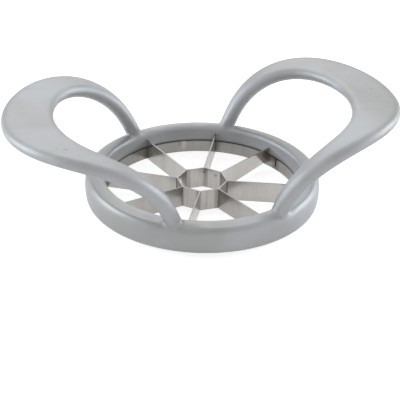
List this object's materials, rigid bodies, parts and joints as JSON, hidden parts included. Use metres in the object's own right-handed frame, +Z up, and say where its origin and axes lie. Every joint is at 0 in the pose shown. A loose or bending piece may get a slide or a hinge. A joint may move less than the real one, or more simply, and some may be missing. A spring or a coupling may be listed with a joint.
{
  "type": "apple slicer",
  "caption": "Hand-pressed apple slicer and corer: a cast ring with raised loop handles on either side holds radial steel blades around an octagonal core tube.",
  "frame": {"origin": "on the ring's axis, in the plane of the cutting edges that the slicer rests on", "axes": "+Z up along the ring's axis, out of the fruit; +X along the two handles; +Y across them"},
  "size_m": [0.1876, 0.1128, 0.0509],
  "materials": {
    "cast_aluminium": "matt, as cast and tumbled",
    "steel": "bright rolled strip"
  },
  "bodies": {
    "root": {"cast_frame": "cast_aluminium", "blade_band": "steel", "core_tube": "steel", "blade_1": "steel", "blade_2": "steel", "blade_3": "steel", "blade_4": "steel", "blade_5": "steel", "blade_6": "steel", "blade_7": "steel", "blade_8": "steel"}
  },
  "joints": []
}
